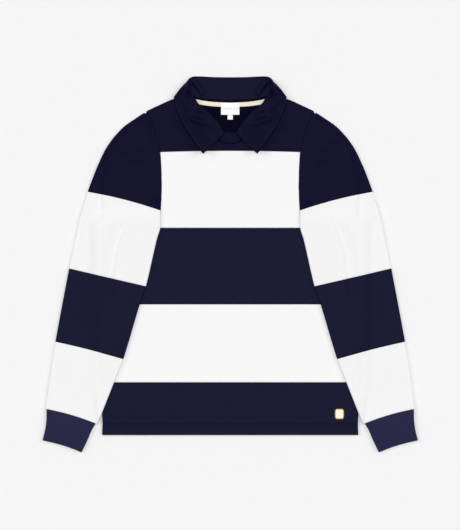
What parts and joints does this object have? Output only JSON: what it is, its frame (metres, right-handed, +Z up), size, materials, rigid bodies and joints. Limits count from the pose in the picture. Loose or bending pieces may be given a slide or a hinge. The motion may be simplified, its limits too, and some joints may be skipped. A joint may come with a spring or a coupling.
{
  "type": "polo collar sweatshirt",
  "caption": "Long-sleeved sweatshirt with a polo collar, laid flat face up, with wide navy and off-white bands round the body and sleeves and ribbed cuffs",
  "frame": {"origin": "Centre of the footprint of the whole laid-out garment, on the surface that it lies on.", "axes": "+X across the garment to the wearer's left, +Y up the body from hem to collar, +Z up from the surface."},
  "size_m": [0.7118, 0.7126, 0.0174],
  "materials": {
    "navy_fleece": "smooth knit face, matt",
    "white_fleece": "smooth knit face, matt",
    "navy_rib": "rib knit, matt",
    "navy_collar": "firm knit, matt",
    "cream_tape": "woven herringbone tape",
    "label": "satin woven label",
    "patch": "stitched edge"
  },
  "bodies": {
    "root": {"front_yoke": "navy_fleece", "front_chest": "white_fleece", "front_middle": "navy_fleece", "front_waist": "white_fleece", "front_hem": "navy_fleece", "back_yoke": "navy_fleece", "back_chest": "white_fleece", "back_middle": "navy_fleece", "back_waist": "white_fleece", "back_hem": "navy_fleece", "sleeve_cap_left": "navy_fleece", "sleeve_upper_left": "white_fleece", "sleeve_middle_left": "navy_fleece", "sleeve_lower_left": "white_fleece", "cuff_left": "navy_rib", "sleeve_cap_right": "navy_fleece", "sleeve_upper_right": "white_fleece", "sleeve_middle_right": "navy_fleece", "sleeve_lower_right": "white_fleece", "cuff_right": "navy_rib", "collar": "navy_collar", "neck_band": "navy_rib", "neck_tape": "cream_tape", "neck_label": "label", "size_tab": "label", "hem_patch": "patch"}
  },
  "joints": []
}
